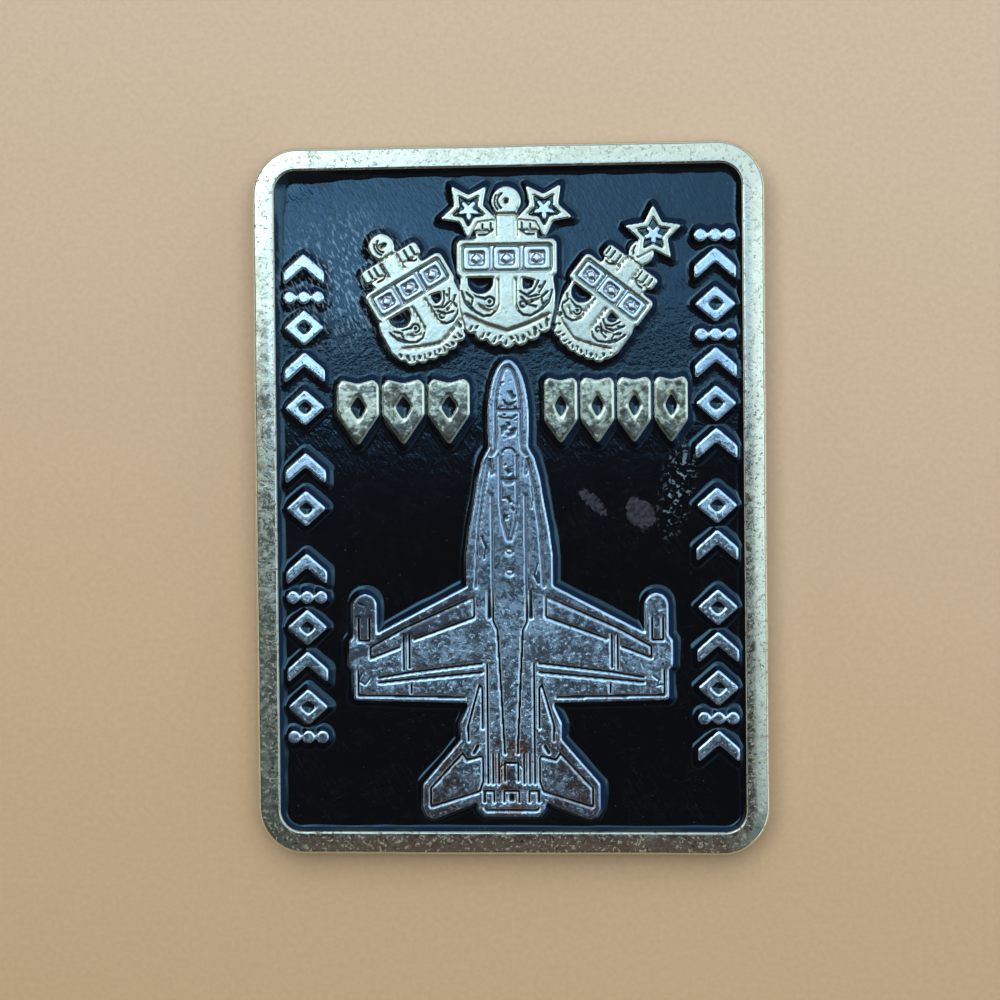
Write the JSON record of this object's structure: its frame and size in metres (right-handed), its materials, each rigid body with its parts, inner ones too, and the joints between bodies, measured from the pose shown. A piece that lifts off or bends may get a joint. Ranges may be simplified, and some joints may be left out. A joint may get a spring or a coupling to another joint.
{
  "type": "challenge coin",
  "caption": "rectangular two-tone struck coin with rounded corners, raised border, black enamel field, relief of a jet seen from above, anchors, stars and ornament",
  "frame": {"origin": "centre of the face that the coin rests on, at the middle of the bounding box's base", "axes": "+Z leaves the front face, +Y runs to the top of the design along the coin's long side, +X to the right of the design"},
  "size_m": [0.0368, 0.0508, 0.003],
  "materials": {
    "antique_gold": "pale antique gold plating, softly polished, with dark mottled patina",
    "antique_silver": "antique silver plating, softly polished, with dark mottled patina",
    "black_enamel": "glossy black soft enamel with a faint orange peel"
  },
  "bodies": {
    "root": {"coin_blank": "antique_gold", "anchor_centre": "antique_gold", "anchor_left": "antique_gold", "anchor_right": "antique_gold", "star_centre_left": "antique_gold", "star_centre_right": "antique_gold", "star_right": "antique_gold", "upper_left_marks": "antique_gold", "upper_right_marks": "antique_gold", "reverse_ring": "antique_gold", "reverse_top_cartouche": "antique_gold", "reverse_bottom_cartouche": "antique_gold", "jet_relief": "antique_silver", "plaque_centre": "antique_silver", "plaque_left": "antique_silver", "plaque_right": "antique_silver", "star_inlays": "antique_silver", "left_column_marks": "antique_silver", "right_column_marks": "antique_silver", "reverse_compass": "antique_silver", "field_enamel": "black_enamel", "anchor_centre_enamel": "black_enamel", "anchor_left_enamel": "black_enamel", "anchor_right_enamel": "black_enamel", "column_mark_enamel": "black_enamel", "upper_mark_enamel": "black_enamel", "reverse_field_enamel": "black_enamel", "reverse_centre_enamel": "black_enamel"}
  },
  "joints": []
}
